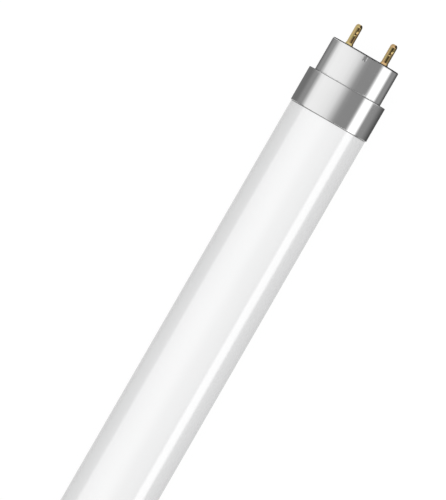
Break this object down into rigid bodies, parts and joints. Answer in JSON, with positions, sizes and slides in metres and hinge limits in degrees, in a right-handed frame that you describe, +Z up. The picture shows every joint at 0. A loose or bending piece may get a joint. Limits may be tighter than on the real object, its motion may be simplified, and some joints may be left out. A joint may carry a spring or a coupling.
{
  "type": "fluorescent tube light",
  "caption": "Straight fluorescent tube light: a white sealed glass tube with a stepped aluminium cap and crimped brass contact pins at each end.",
  "frame": {"origin": "the middle of the lamp, on its axis", "axes": "+X along the lamp towards the right cap, the end that the picture shows; +Y across, along the line of the pins; +Z up, towards one pair of the stakes in the caps"},
  "size_m": [0.6038, 0.0274, 0.0274],
  "materials": {
    "coated_glass": "gloss, coated white inside",
    "cap_aluminium": "satin",
    "insulator_board": "matt laminate",
    "pin_brass": "drawn, slightly dull",
    "lead_wire": "bare wire"
  },
  "bodies": {
    "root": {"glass_tube": "coated_glass", "right_cap_shell": "cap_aluminium", "left_cap_shell": "cap_aluminium", "right_insulator": "insulator_board", "left_insulator": "insulator_board", "right_back_pin": "pin_brass", "right_back_lead": "lead_wire", "right_front_pin": "pin_brass", "right_front_lead": "lead_wire", "left_back_pin": "pin_brass", "left_back_lead": "lead_wire", "left_front_pin": "pin_brass", "left_front_lead": "lead_wire"}
  },
  "joints": []
}
